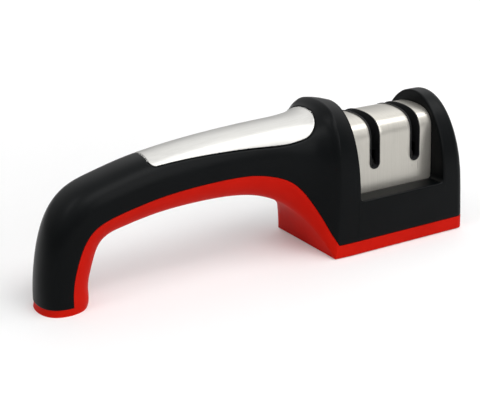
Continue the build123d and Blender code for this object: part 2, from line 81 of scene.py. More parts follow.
class Grain(Enum):
    """Direction that a brushed surface's lines run in."""

    ALONG_X = (0.02, 1.0, 1.0)
    ROUND_X = (1.0, 0.03, 0.03)


class NodeBook:
    """Writes the nodes of one tree."""

    def __init__(self, owner: bpy.types.ID) -> None:
        """Starts with an empty tree.

        Args:
            owner: The material or world that the tree belongs to.
        """
        owner.use_nodes = True
        self.tree = owner.node_tree
        self.tree.nodes.clear()

    def node(self, kind: str, **settings: Any) -> bpy.types.Node:
        """Adds a node.

        Args:
            kind: Node type, without its ShaderNode prefix.
            settings: Attributes to set on the node.

        Returns:
            The new node.
        """
        made = self.tree.nodes.new("ShaderNode" + kind)
        for name, value in settings.items():
            setattr(made, name, value)
        return made

    def feed(self, node: bpy.types.Node, **values: Any) -> bpy.types.Node:
        """Links or sets inputs of a node, named with underscores for spaces.

        Args:
            node: The node whose inputs are set.
            values: A socket to link, or a plain value to set, for each input.

        Returns:
            The same node.
        """
        for name, value in values.items():
            socket = node.inputs[name.replace("_", " ")]
            if isinstance(value, bpy.types.NodeSocket):
                self.tree.links.new(value, socket)
            else:
                socket.default_value = value
        return node

    def place(self, stretch: Point = (1.0, 1.0, 1.0)) -> Socket:
        """Object coordinates, stretched along the axes.

        Args:
            stretch: Scale of the pattern along each axis.

        Returns:
            The stretched coordinates.
        """
        coordinate = self.node("TexCoord")
        mapping = self.feed(self.node("Mapping"), Vector=coordinate.outputs["Object"])
        mapping.inputs["Scale"].default_value = stretch
        return mapping.outputs["Vector"]

    def noise(self, place: Socket, scale: float, detail: float = 3.0, rough: float = 0.55) -> Socket:
        """Noise between 0 and 1 over a place.

        Args:
            place: Coordinates to read.
            scale: Cells for each metre.
            detail: Octaves of finer noise.
            rough: Strength of the finer octaves.

        Returns:
            The noise value.
        """
        made = self.node("TexNoise")
        self.feed(made, Vector=place, Scale=scale, Detail=detail, Roughness=rough)
        return made.outputs["Fac"]

    def spread(self, value: Socket, low: float, high: float) -> Socket:
        """Maps the middle of a noise value to a range.

        Args:
            value: A value about 0.5.
            low: Result at the low end of what a noise reaches.
            high: Result at the high end of it.

        Returns:
            The mapped value.
        """
        ends = {"From_Min": NOISE_LOW, "From_Max": NOISE_HIGH, "To_Min": low, "To_Max": high}
        return self.feed(self.node("MapRange"), Value=value, **ends).outputs["Result"]

    def blend(self, factor: Socket, first: Colour, second: Colour) -> Socket:
        """Colour between two colours.

        Args:
            factor: 0 for the first colour, 1 for the second.
            first: Linear colour.
            second: Linear colour.

        Returns:
            The blended colour.
        """
        mixed = self.node("Mix", data_type="RGBA")
        self.tree.links.new(factor, mixed.inputs[MIX_FACTOR])
        mixed.inputs[MIX_FIRST].default_value = (*first, 1.0)
        mixed.inputs[MIX_SECOND].default_value = (*second, 1.0)
        return mixed.outputs[MIX_RESULT]

    def mix(self, first: Socket, second: Socket, share: float) -> Socket:
        """Two values mixed by shares, so that the middle of two noises stays 0.5.

        Args:
            first: Value that has the rest of the share.
            second: Value that has the share.
            share: Share of the second value, from 0 to 1.

        Returns:
            The mixed value.
        """
        return self.feed(self.node("Mix"), Factor=share, A=first, B=second).outputs["Result"]

    def maths(self, operation: str, first: Socket, second: Socket) -> Socket:
        """Two values joined by an operation.

        Args:
            operation: One of the Math node's operations.
            first: The value that is worked on.
            second: The other value.

        Returns:
            The new value.
        """
        made = self.node("Math", operation=operation)
        self.tree.links.new(first, made.inputs[0])
        self.tree.links.new(second, made.inputs[1])
        return made.outputs["Value"]

    def seen(self) -> Socket:
        """One for rays of the camera, of reflections and through glass, else zero.

        Returns:
            The value.
        """
        path = self.node("LightPath")
        value = path.outputs["Is Camera Ray"]
        for name in ("Is Glossy Ray", "Is Transmission Ray"):
            value = self.maths("MAXIMUM", value, path.outputs[name])
        return value


class SurfaceBook(NodeBook):
    """Writes the nodes of one material, round its surface shader."""

    def __init__(self, name: str) -> None:
        """Starts a material.

        Args:
            name: The material's name.
        """
        self.material = bpy.data.materials.new(name)
        super().__init__(self.material)
        self.shader = self.node("BsdfPrincipled")
        self.feed(self.node("OutputMaterial"), Surface=self.shader.outputs["BSDF"])

    def bump(self, height: Socket, depth: float, strength: float) -> None:
        """Raises the surface by a height pattern of a depth in metres, at a share of its strength."""
        made = self.feed(self.node("Bump"), Height=height, Distance=depth, Strength=strength)
        self.feed(self.shader, Normal=made.outputs["Normal"])


@dataclass(frozen=True)
class Finish:
    """What every finish has: two colours that it drifts between, and a range of roughness."""

    name: str
    colour: Colour
    shade: Colour
    roughness: tuple[float, float]

    def material(self) -> bpy.types.Material:
        """Builds the material, as each kind of finish does in its own way."""
        raise NotImplementedError


@dataclass(frozen=True)
class MouldedPlastic(Finish):
    """Moulded plastic with a fine spark-eroded grain and faint cloudiness."""

    grain_scale: float = 2600.0
    grain_depth: float = 0.00002
    gloss: float = 0.2
    cloud_scale: float = 45.0
    grain_detail: float = 2.0
    grain_share: float = 0.3
    strength: float = 0.35

    def material(self) -> bpy.types.Material:
        """Builds the material.

        Returns:
            The material.
        """
        book = SurfaceBook(self.name)
        cloud = book.noise(book.place(), self.cloud_scale)
        grain = book.noise(book.place(), self.grain_scale, self.grain_detail)
        tint = book.blend(book.spread(cloud, 0.0, 1.0), self.shade, self.colour)
        rough = book.spread(book.mix(cloud, grain, self.grain_share), *self.roughness)
        book.feed(book.shader, Base_Color=tint, Roughness=rough, Specular_IOR_Level=self.gloss)
        book.bump(grain, self.grain_depth, self.strength)
        return book.material


@dataclass(frozen=True)
class BrushedSteel(Finish):
    """Steel with fine lines and wider bands along one direction, and a soft cloud over them."""

    grain: Grain
    line_scale: float = 9000.0
    line_depth: float = 0.000006
    metal: float = 1.0
    line_detail: float = 3.0
    line_rough: float = 0.7
    band_lines: float = 6.0
    band_detail: float = 2.0
    cloud_scale: float = 70.0
    line_share_of_tint: float = 0.3
    line_share_of_bump: float = 0.8
    band_share_of_rough: float = 0.5
    strength: float = 0.5

    def material(self) -> bpy.types.Material:
        """Builds the material.

        Returns:
            The material.
        """
        book = SurfaceBook(self.name)
        along = book.place(self.grain.value)
        lines = book.noise(along, self.line_scale, self.line_detail, self.line_rough)
        bands = book.noise(along, self.line_scale / self.band_lines, self.band_detail)
        cloud = book.noise(book.place(), self.cloud_scale)
        shine = book.spread(book.mix(bands, lines, self.line_share_of_tint), 0.0, 1.0)
        tint = book.blend(shine, self.shade, self.colour)
        rough = book.spread(book.mix(cloud, bands, self.band_share_of_rough), *self.roughness)
        book.feed(book.shader, Base_Color=tint, Roughness=rough, Metallic=self.metal)
        book.bump(book.mix(bands, lines, self.line_share_of_bump), self.line_depth, self.strength)
        return book.material


@dataclass(frozen=True)
class GrainedSolid(Finish):
    """Hard grains in a bond: grit, fired ceramic or rubber, by their colours and depth."""

    grain_scale: float
    grain_depth: float
    metal: float = 0.0
    cloud_cells: float = 6.0
    cell_share: float = 0.5
    strength: float = 0.6

    def material(self) -> bpy.types.Material:
        """Builds the material.

        Returns:
            The material.
        """
        book = SurfaceBook(self.name)
        cells = book.node("TexVoronoi")
        book.feed(cells, Vector=book.place(), Scale=self.grain_scale)
        cloud = book.noise(book.place(), self.grain_scale / self.cloud_cells)
        speckle = book.spread(book.mix(cloud, cells.outputs["Distance"], self.cell_share), 0.0, 1.0)
        tint = book.blend(speckle, self.shade, self.colour)
        rough = book.spread(cloud, *self.roughness)
        book.feed(book.shader, Base_Color=tint, Roughness=rough, Metallic=self.metal)
        book.bump(cells.outputs["Distance"], self.grain_depth, self.strength)
        return book.material


SHELL_BLACK = MouldedPlastic(
    "shell_black", (0.0020, 0.0026, 0.0030), (0.0013, 0.0018, 0.0021), (0.29, 0.37), gloss=0.07
)
SHELL_RED = MouldedPlastic(
    "shell_red", (0.54, 0.009, 0.003), (0.48, 0.007, 0.0025), (0.42, 0.50), gloss=0.035
)
LINER_BLACK = MouldedPlastic("liner_black", (0.010, 0.010, 0.011), (0.007, 0.007, 0.008), (0.45, 0.55))
HUB_PLASTIC = MouldedPlastic("hub_plastic", (0.78, 0.77, 0.74), (0.72, 0.71, 0.68), (0.38, 0.46))
COVER_STEEL = BrushedSteel(
    "cover_steel", (0.465, 0.447, 0.405), (0.415, 0.399, 0.361), (0.27, 0.33), Grain.ROUND_X,
    line_depth=0.00002, metal=0.68,
)
INLAY_STEEL = BrushedSteel(
    "inlay_steel", (0.44, 0.435, 0.42), (0.38, 0.375, 0.36), (0.36, 0.46), Grain.ALONG_X
)
PIN_STEEL = BrushedSteel("pin_steel", (0.62, 0.61, 0.60), (0.50, 0.49, 0.48), (0.22, 0.34), Grain.ROUND_X)
SCREW_STEEL = BrushedSteel(
    "screw_steel", (0.55, 0.55, 0.54), (0.40, 0.40, 0.40), (0.30, 0.42), Grain.ROUND_X
)
CLIP_STEEL = BrushedSteel("clip_steel", (0.34, 0.34, 0.35), (0.22, 0.22, 0.23), (0.30, 0.45), Grain.ROUND_X)
DIAMOND_GRIT = GrainedSolid(
    "diamond_grit", (0.16, 0.155, 0.15), (0.05, 0.05, 0.05), (0.35, 0.60), 5200.0, 0.00006, metal=0.8
)
DARK_CERAMIC = GrainedSolid(
    "dark_ceramic", (0.060, 0.057, 0.052), (0.035, 0.033, 0.031), (0.42, 0.55), 6500.0, 0.00002
)
PAD_RUBBER = GrainedSolid(
    "pad_rubber", (0.030, 0.030, 0.031), (0.018, 0.018, 0.019), (0.62, 0.80), 2400.0, 0.00005
)

FINISHED_NODES = (
    (SHELL_BLACK, ("upper_shell",)),
    (SHELL_RED, ("lower_shell",)),
    (INLAY_STEEL, ("handle_inlay",)),
    (COVER_STEEL, ("head_cover",)),
    (LINER_BLACK, ("blade_guide", "wheel_carrier")),
    (PIN_STEEL, ("coarse_axle", "fine_axle", "coarse_washers", "fine_washers")),
    (HUB_PLASTIC, ("coarse_hub", "fine_hub")),
    (DIAMOND_GRIT, ("coarse_wheel_left", "coarse_wheel_right")),
    (DARK_CERAMIC, ("fine_wheel_left", "fine_wheel_right")),
    (CLIP_STEEL, ("axle_clips", "inlay_clips")),
    (SCREW_STEEL, ("carrier_screws", "base_screws", "handle_screws")),
    (PAD_RUBBER, ("base_pad",)),
)


@dataclass
class Workshop:
    """Shared materials, and the way that meshes are put into the scene."""

    made: dict[str, bpy.types.Material] = field(default_factory=dict)

    def finish_of(self, finish: Finish) -> bpy.types.Material:
        """Material of a finish, built once.

        Args:
            finish: The finish that names the material.

        Returns:
            The material.
        """
        if finish.name not in self.made:
            self.made[finish.name] = finish.material()
        return self.made[finish.name]

    def dress_nodes(self) -> None:
        """Gives every CAD node the material of its finish."""
        for finish, names in FINISHED_NODES:
            for name in names:
                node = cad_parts[name]
                node.data.materials.clear()
                node.data.materials.append(self.finish_of(finish))
                LOG.info("dressed node %s in %s", name, finish.name)

    def keep(self, piece: bpy.types.Object, finish: Finish, node: str) -> None:
        """Dresses a finished piece and lets it stand for its CAD node.

        Args:
            piece: The piece.
            finish: Its finish.
            node: The CAD node that it replaces.
        """
        piece.data.materials.append(self.finish_of(finish))
        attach(piece, FIXED_BODY)
        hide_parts(node)
        LOG.info("made %s with %d faces", piece.name, len(piece.data.polygons))


# Sections from the foot to the ridge, as shares: x and height of the low point, x and height of
# the high point, and half width.
STATION_LINES = (
    (-0.840, 0.000, -0.997, 0.000, 0.490),
    (-0.833, 0.110, -0.993, 0.139, 0.490),
    (-0.818, 0.234, -0.982, 0.289, 0.494),
    (-0.799, 0.330, -0.961, 0.450, 0.498),
    (-0.777, 0.388, -0.923, 0.605, 0.504),
    (-0.746, 0.418, -0.862, 0.717, 0.510),
    (-0.708, 0.435, -0.776, 0.778, 0.514),
    (-0.636, 0.461, -0.674, 0.827, 0.518),
    (-0.545, 0.481, -0.567, 0.862, 0.526),
    (-0.447, 0.488, -0.457, 0.886, 0.538),
    (-0.348, 0.484, -0.348, 0.902, 0.553),
    (-0.258, 0.463, -0.250, 0.912, 0.573),
    (-0.182, 0.420, -0.170, 0.917, 0.598),
    (-0.125, 0.363, -0.114, 0.920, 0.638),
    (-0.083, 0.298, -0.068, 0.925, 0.695),
    (-0.055, 0.237, -0.034, 0.934, 0.762),
    (-0.033, 0.167, -0.009, 0.949, 0.838),
    (-0.017, 0.095, 0.010, 0.970, 0.908),
    (-0.006, 0.040, 0.022, 0.988, 0.956),
    (0.000, 0.006, 0.032, 1.000, 0.982),
    (0.030, 0.006, 0.052, 0.996, 0.991),
)
# Height of the waist, fullness of the crown and width of the flat, as shares: the same in the
# foot and along the handle, and then one row for each section up to the ridge.
HANDLE_FORM = (0.50, 0.63, 0.10)
NECK_FORMS = (
    (0.50, 0.63, 0.11),
    (0.50, 0.63, 0.13),
    (0.50, 0.63, 0.18),
    (0.49, 0.64, 0.27),
    (0.48, 0.66, 0.40),
    (0.46, 0.68, 0.55),
    (0.44, 0.71, 0.71),
    (0.41, 0.73, 0.84),
    (0.39, 0.75, 0.93),
    (0.37, 0.75, 0.97),
    (0.37, 0.70, 0.975),
)
# Line between the shells, from the foot to the head: x and height as shares.
SEAM_SHARES = (
    (-0.897, 0.212),
    (-0.878, 0.328),
    (-0.853, 0.427),
    (-0.818, 0.500),
    (-0.767, 0.544),
    (-0.686, 0.582),
    (-0.605, 0.611),
    (-0.478, 0.636),
    (-0.351, 0.643),
    (-0.261, 0.632),
    (-0.197, 0.602),
    (-0.136, 0.551),
    (-0.093, 0.477),
    (-0.058, 0.380),
    (-0.024, 0.250),
    (-0.007, 0.167),
)


class Spline:
    """Smooth curve through rows of values at rising knots, with no bend at its two ends.

    Between two knots it is a v0 + b v1 + ((a^3 - a) m0 + (b^3 - b) m1) h^2 / 6, where a and b
    are the shares of the way to each knot, h their gap and m the bends that make it smooth.
    """

    def __init__(self, knots: Array, values: Array) -> None:
        """Solves the bends.

        Args:
            knots: Rising places of the rows.
            values: One row of numbers for each knot.
        """
        self.knots, self.values = knots, values
        gaps = np.diff(knots)
        slopes = np.diff(values, axis=0) / gaps[:, None]
        system = np.zeros((len(knots), len(knots)))
        system[0, 0] = system[-1, -1] = 1.0
        inner = np.arange(1, len(knots) - 1)
        system[inner, inner - 1] = gaps[:-1]
        system[inner, inner] = 2.0 * (gaps[:-1] + gaps[1:])
        system[inner, inner + 1] = gaps[1:]
        turns = np.zeros_like(values)
        turns[1:-1] = 6.0 * np.diff(slopes, axis=0)
        self.bends = np.linalg.solve(system, turns)

    def __call__(self, place: Array) -> Array:
        """Works out the curve.

        Args:
            place: Places of any shape.

        Returns:
            Values at the places, along a new last axis.
        """
        before = np.clip(np.searchsorted(self.knots, place) - 1, 0, len(self.knots) - 2)
        gap = (self.knots[before + 1] - self.knots[before])[..., None]
        a = (self.knots[before + 1] - place)[..., None] / gap
        b = 1.0 - a
        straight = a * self.values[before] + b * self.values[before + 1]
        bend = (a**3 - a) * self.bends[before] + (b**3 - b) * self.bends[before + 1]
        return straight + bend * gap * gap / 6.0


def bezier(share: Array, a: Array, b: Array, c: Array, d: Array) -> Array:
    """Cubic (1-s)^3 a + 3 (1-s)^2 s b + 3 (1-s) s^2 c + s^3 d."""
    rest = 1.0 - share
    return rest**3 * a + 3 * rest**2 * share * b + 3 * rest * share**2 * c + share**3 * d


def crossing(value: Callable[[Array], Array], low: Array, high: Array) -> Array:
    """Place between low and high where a value changes sign, by halving.

    Args:
        value: Gives the value for an array of places.
        low: Lowest places.
        high: Highest places.

    Returns:
        The places.
    """
    start = np.sign(value(low))
    for _ in range(HALVINGS):
        middle = (low + high) / 2.0
        same = np.sign(value(middle)) == start
        low = np.where(same, middle, low)
        high = np.where(same, high, middle)
    return (low + high) / 2.0


def crowded(count: int, power: float) -> Array:
    """Shares from 0 to 1 that crowd towards 1, as 1 - (1 - s)^power."""
    return 1.0 - (1.0 - np.linspace(0.0, 1.0, count)) ** power


def smooth_step(share: Array) -> Array:
    """Smooth rise 3 s^2 - 2 s^3 from 0 to 1, level outside."""
    held = np.clip(share, 0.0, 1.0)
    return held * held * (3.0 - 2.0 * held)


def normals_of(grid: Array) -> Array:
    """Unit normals of a grid of points, from the cross product of its two directions.

    Args:
        grid: Points, rows by columns by 3.

    Returns:
        The normals, in the same shape.
    """
    down = np.gradient(grid, axis=0)
    across = np.gradient(grid, axis=1)
    normal = np.cross(down, across)
    length = np.linalg.norm(normal, axis=-1, keepdims=True)
    return normal / np.maximum(length, NO_LENGTH)


def polyline_gap(x: Array, y: Array, line: Array) -> Array:
    """Distance from each point, in flat arrays, to the nearest point of a finely drawn line."""
    return np.sqrt(((x[:, None] - line[:, 0]) ** 2 + (y[:, None] - line[:, 1]) ** 2).min(axis=1))


class MeshSheet:
    """Gathers grids of points into one mesh, with their mirror images across the middle plane."""

    def __init__(self) -> None:
        """Starts with no points."""
        self.points: list[Array] = []
        self.quads: list[Array] = []
        self.count = 0

    def add(self, grid: Array, flip: bool = False) -> None:
        """Adds a grid of points.

        Args:
            grid: Points in millimetres, rows by columns by 3.
            flip: True if rows crossed with columns point inwards.
        """
        rows, columns = grid.shape[:2]
        index = self.count + np.arange(rows * columns).reshape(rows, columns)
        a, b, c, d = index[:-1, :-1], index[1:, :-1], index[1:, 1:], index[:-1, 1:]
        corners = (a, d, c, b) if flip else (a, b, c, d)
        self.quads.append(np.stack(corners, axis=-1).reshape(-1, 4))
        self.points.append(grid.reshape(-1, 3))
        self.count += rows * columns

    def add_pair(self, grid: Array, flip: bool = False) -> None:
        """Adds a grid and its mirror image across the plane y = 0."""
        self.add(grid, flip)
        self.add(grid * np.array((1.0, -1.0, 1.0)), not flip)

    def build(self, name: str) -> bpy.types.Object:
        """Makes the object, with shared edges merged and empty faces dropped.

        Args:
            name: The object's name.

        Returns:
            The object, at the origin.
        """
        mesh = bpy.data.meshes.new(name)
        points = np.concatenate(self.points) * MM
        mesh.from_pydata(points.tolist(), [], np.concatenate(self.quads).tolist())
        work = bmesh.new()
        work.from_mesh(mesh)
        bmesh.ops.remove_doubles(work, verts=work.verts, dist=MERGE * MM)
        bmesh.ops.dissolve_degenerate(work, edges=work.edges, dist=EMPTY * MM)
        work.to_mesh(mesh)
        work.free()
        mesh.polygons.foreach_set("use_smooth", np.ones(len(mesh.polygons), dtype=bool))
        made = bpy.data.objects.new(name, mesh)
        bpy.context.scene.collection.objects.link(made)
        return made


def thicken(piece: bpy.types.Object, thickness: float) -> None:
    """Gives a sheet its wall, inwards from its outer face.

    Args:
        piece: The sheet.
        thickness: Wall in millimetres.
    """
    wall = piece.modifiers.new("wall", "SOLIDIFY")
    wall.thickness = thickness * MM
    wall.offset = -1.0
    wall.use_even_offset = False
    wall.use_rim = True


def soften(piece: bpy.types.Object, width: float) -> None:
    """Rounds the sharp edges of a piece.

    Args:
        piece: The piece.
        width: Width of the rounding in millimetres.
    """
    edge = piece.modifiers.new("edge", "BEVEL")
    edge.width = width * MM
    edge.segments = EDGE_FACES
    edge.limit_method = "ANGLE"
    edge.angle_limit = math.radians(EDGE_ANGLE)
    edge.harden_normals = False


@dataclass
class BodyForm:
    """Outer form of the body, by cross sections from the foot to the end of the head.

    A section stands on its low point, rises to its high point and is given by its half width,
    the share of its height where it is widest, its crown and belly fullness and its flat.
    """

    reach: float = 132.0
    crest: float = 68.4
    half_width: float = 24.7
    head_left: float = 28.602
    head_length: float = 74.4
    base_lift: float = 0.4
    sill: float = 25.3
    left_ear: float = 13.0
    left_ear_top: float = 66.4
    left_crown: float = 0.60
    right_ear: float = 60.0
    right_ear_top: float = 64.4
    right_crown: float = 0.56
    belly: float = 0.60
    flat: float = 0.975
    end_lean: float = 4.6
    end_round: float = 4.2
    rim: float = 6.5
    foot_rim: float = 3.0
    seam_foot_share: float = -0.906
    seam_corner_share: float = 0.013
    drop_before: float = 0.3
    drop_height: float = -60.0
    ridge_station: int = 19
    seam_points: int = 1200
    # The search for a place on the top: its first tries, steps and furthest turn.
    search_points: int = 400
    first_turn_share: float = 0.35
    first_turn: float = 0.01
    newton_steps: int = 12
    turn_limit: float = 1.2

    def __post_init__(self) -> None:
        """Works out the splines of the sections and of the seam."""
        scale = np.array((self.reach, self.crest, self.reach, self.crest, self.half_width))
        lines = np.array(STATION_LINES) * scale + (self.head_left, 0, self.head_left, 0, 0)
        plain = np.tile(HANDLE_FORM, (len(lines) - len(NECK_FORMS), 1))
        waist, crown, flat = np.vstack((plain, NECK_FORMS)).T
        rows = np.column_stack((lines, waist, crown, np.full(len(lines), self.belly), flat))
        ridge = self.ridge_station
        self.spine = Spline(self.knots(rows[: ridge + 1]), rows[: ridge + 1])
        end = self.upright(self.left_x, self.left_x, self.left_ear_top, self.half_width, self.left_crown)
        ear_rows = np.vstack((rows[ridge:], end))
        self.ear_spine = Spline(self.knots(ear_rows), ear_rows)
        seam = np.array(SEAM_SHARES) * (self.reach, self.crest) + (self.head_left, 0)
        foot = (self.head_left + self.seam_foot_share * self.reach, self.foot_rim)
        corner = (self.head_left + self.seam_corner_share * self.reach, self.rim)
        line = np.vstack((foot, seam, corner))
        steps = np.concatenate(([0.0], np.cumsum(np.linalg.norm(np.diff(line, axis=0), axis=1))))
        self.seam_line = Spline(steps, line)(np.linspace(0.0, steps[-1], self.seam_points))

    @property
    def left_x(self) -> float:
        """Place of the left ear's inner face."""
        return self.head_left + self.left_ear

    @property
    def right_x(self) -> float:
        """Place of the right ear's inner face."""
        return self.head_left + self.right_ear

    @property
    def spine_end(self) -> float:
        """Spline place of the ridge."""
        return float(self.spine.knots[-1])

    def knots(self, rows: Array) -> Array:
        """Distances along the middles of the given sections.

        Args:
            rows: Sections, one row each.

        Returns:
            Rising distances that start at zero.
        """
        middles = (rows[:, LOW] + rows[:, HIGH]) / 2.0
        steps = np.linalg.norm(np.diff(middles, axis=0), axis=1)
        return np.concatenate(([0.0], np.cumsum(steps)))

    def upright(self, low_x: Array, high_x: Array, top: Array, half: Array, crown: float) -> Array:
        """Sections of the head that rise from the base line to a top height.

        Args:
            low_x: Places of the low points.
            high_x: Places of the high points.
            top: Heights of the high points.
            half: Half widths.
            crown: Fullness of the crown.

        Returns:
            The sections, one row each.
        """
        given = (np.atleast_1d(value) for value in (low_x, high_x, top, half))
        low_x, high_x, top, half = np.broadcast_arrays(*given)
        length = np.hypot(high_x - low_x, top - self.base_lift)
        waist = (self.sill - self.base_lift) / length
        same = np.ones_like(length)
        columns = (low_x, self.base_lift * same, high_x, top, half, waist)
        return np.stack((*columns, crown * same, self.belly * same, self.flat * same), axis=-1)

    def around(self, section: Array, turn: Array) -> Array:
        """Points of sections: turn 0 to 1 is the crown, 1 to 2 the belly and 2 to 3 the flat.

        The crown is a Bezier quarter from (0, top) to (half, waist), the belly one from there to
        (edge, 0), and the flat a line to (0, 0), all in the section's own plane.

        Args:
            section: Sections along the last axis.
            turn: Places round the section.

        Returns:
            Points in millimetres.
        """
        low, rise = section[..., LOW], section[..., HIGH] - section[..., LOW]
        length = np.linalg.norm(rise, axis=-1)
        up = rise / length[..., None]
        half, waist = section[..., HALF], section[..., WAIST] * length
        crown, belly, edge = section[..., CROWN], section[..., BELLY], section[..., FLAT] * half
        zero = np.zeros_like(half)
        over = np.clip(turn, 0.0, 1.0)
        side = np.clip(turn - 1.0, 0.0, 1.0)
        under = np.clip(turn - 2.0, 0.0, 1.0)
        crown_y = bezier(over, zero, crown * half, half, half)
        crown_h = bezier(over, length, length, waist + crown * (length - waist), waist)
        belly_y = bezier(side, half, half, edge + belly * (half - edge), edge)
        belly_h = bezier(side, waist, waist - belly * waist, zero, zero)
        y = np.where(turn <= 1.0, crown_y, np.where(turn <= 2.0, belly_y, edge * (1.0 - under)))
        height = np.where(turn <= 1.0, crown_h, np.where(turn <= 2.0, belly_h, 0.0))
        return np.stack((low[..., 0] + up[..., 0] * height, y, low[..., 1] + up[..., 1] * height), axis=-1)

    def handle(self, along: Array, turn: Array) -> Array:
        """Points of the handle at spline places and turns."""
        return self.around(self.spine(along), turn)

    def left_ear_points(self, along: Array, turn: Array) -> Array:
        """Points of the left ear at spline places and turns."""
        return self.around(self.ear_spine(along), turn)

    def left_section(self) -> Array:
        """The upright section of the head at the left ear."""
        return self.upright(0.0, 0.0, self.left_ear_top, self.half_width, self.left_crown)[0]

    def seam_height(self, x: Array) -> Array:
        """Height of the line between the shells, which drops away left of the foot's corner.

        Args:
            x: Places along the object.

        Returns:
            Heights of the line.
        """
        xs = np.concatenate(([self.seam_line[0, 0] - self.drop_before], self.seam_line[:, 0]))
        heights = np.concatenate(([self.drop_height], self.seam_line[:, 1]))
        return np.interp(x, xs, heights)

    def above_seam(self, points: Array) -> Array:
        """Height of points over the seam."""
        return points[..., 2] - self.seam_height(points[..., 0])

    def top_spine_place(self, x: Array, y: Array) -> tuple[Array, Array]:
        """Spline place and turn of points on the handle's top, by Newton's steps on x and y.

        Args:
            x: Places along the handle.
            y: Places across it.

        Returns:
            Spline places and turns.
        """
        tries = np.linspace(0.0, self.spine_end, self.search_points)
        tops = self.handle(tries, np.zeros_like(tries))[:, 0]
        along = np.interp(x, tops, tries)
        turn = self.first_turn_share * np.abs(y) / self.spine(along)[..., HALF] + self.first_turn
        for _ in range(self.newton_steps):
            here = self.handle(along, turn)
            by_along = (self.handle(along + SMALL_STEP, turn) - here) / SMALL_STEP
            by_turn = (self.handle(along, turn + SMALL_STEP) - here) / SMALL_STEP
            miss_x, miss_y = x - here[..., 0], np.abs(y) - here[..., 1]
            scale = by_along[..., 0] * by_turn[..., 1] - by_along[..., 1] * by_turn[..., 0]
            step_along = (miss_x * by_turn[..., 1] - miss_y * by_turn[..., 0]) / scale
            step_turn = (miss_y * by_along[..., 0] - miss_x * by_along[..., 1]) / scale
            along = np.clip(along + step_along, 0.0, self.spine_end - 2 * SMALL_STEP)
            turn = np.clip(turn + step_turn, 0.0, self.turn_limit)
        return along, turn


@dataclass
class Inlay:
    """Steel plate on the handle's top, and the recess that it lies in."""

    form: BodyForm
    left: float = 81.5
    nose: float = -1.0
    nose_length: float = 8.5
    left_half: float = 9.6
    right_half: float = 14.0
    corner: float = 2.6
    nose_share: float = 0.75
    thickness: float = 0.8
    gap: float = 0.15
    depth: float = 0.95
    edge_round: float = 0.35
    rows: int = 261
    columns: int = 49
    coarse_points: int = 260
    end_points: int = 60
    slope_step: float = 0.05

    def outline(self, inset: float, count: int = 400) -> Array:
        """Half of the plan outline from the left end to the nose, as rows of x and half width.

        The left corner is a quarter circle, the side a straight line to the shoulder, and the
        nose a Bezier quarter from the shoulder to the middle line.

        Args:
            inset: Distance that the outline is drawn in by.
            count: Points on each stretch.

        Returns:
            Points of the outline.
        """
        left = self.form.head_left - self.left + inset
        nose = self.form.head_left + self.nose - inset
        shoulder = self.form.head_left + self.nose - self.nose_length
        near, far = self.left_half - inset, self.right_half - inset
        angle = np.linspace(0.0, math.pi / 2.0, count)
        corner_x = left + self.corner * (1 - np.cos(angle))
        corner = np.stack((corner_x, near - self.corner * (1 - np.sin(angle))), -1)
        share = np.linspace(0.0, 1.0, count)[1:]
        side_x = corner[-1, 0] + share * (shoulder - corner[-1, 0])
        side = np.stack((side_x, near + (far - near) * share), -1)
        reach = shoulder + self.nose_share * (nose - shoulder)
        nose_x = bezier(share, shoulder, reach, nose, nose)
        nose_y = bezier(share, far, far, self.nose_share * far, 0.0)
        return np.vstack((corner, side, np.stack((nose_x, nose_y), -1)))

    def inside(self, x: Array, y: Array, inset: float) -> Array:
        """Distance of points inside the outline, negative outside it.

        Args:
            x: Places along the handle.
            y: Places across it.
            inset: Distance that the outline is drawn in by.

        Returns:
            The distances.
        """
        line = self.outline(inset, self.coarse_points)
        end_y = np.linspace(0.0, line[0, 1], self.end_points)
        end = np.stack((np.full(self.end_points, line[0, 0]), end_y), -1)
        gap = polyline_gap(x.ravel(), np.abs(y).ravel(), np.vstack((end, line))).reshape(x.shape)
        half = np.interp(x, line[:, 0], line[:, 1], left=-1.0, right=-1.0)
        return np.where(np.abs(y) < half, gap, -gap)

    def build(self, shop: Workshop) -> None:
        """Makes the plate: rows from its left end to its nose, columns across it.

        The rows lie at shares (1 - cos t) / 2 of its length and the columns at shares sin t of
        its half width, and a quarter circle rounds its rim.

        Args:
            shop: The workshop that keeps the piece.
        """
        line = self.outline(self.gap)
        ends = (1.0 - np.cos(np.linspace(0.0, math.pi, self.rows))) / 2.0
        x = line[0, 0] + (line[-1, 0] - line[0, 0]) * ends
        half = np.interp(x, line[:, 0], line[:, 1])
        across = np.sin(np.linspace(0.0, math.pi / 2.0, self.columns))
        grid_x = np.repeat(x[:, None], len(across), axis=1)
        grid_y = half[:, None] * across[None, :]
        along, turn = self.form.top_spine_place(grid_x, grid_y)
        points = self.form.handle(along, turn)
        points[..., 1] = grid_y
        depth = np.clip(self.edge_round - self.inside(grid_x, grid_y, self.gap), 0.0, self.edge_round)
        drop = self.edge_round - np.sqrt(self.edge_round**2 - depth**2)
        up = np.stack((-self.slope(along), np.zeros_like(drop), np.ones_like(drop)), -1)
        up /= np.linalg.norm(up, axis=-1, keepdims=True)
        points = points - up * drop[..., None]
        sheet = MeshSheet()
        sheet.add_pair(points)
        piece = sheet.build("handle_inlay_plate")
        thicken(piece, self.thickness)
        shop.keep(piece, INLAY_STEEL, "handle_inlay")

    def slope(self, along: Array) -> Array:
        """Slope of the handle's top line.

        Args:
            along: Spline places.

        Returns:
            Rise over run at the places.
        """
        zero = np.zeros_like(along)
        after = self.form.handle(np.minimum(along + self.slope_step, self.form.spine_end), zero)
        step = after - self.form.handle(along - self.slope_step, zero)
        return step[..., 2] / step[..., 0]


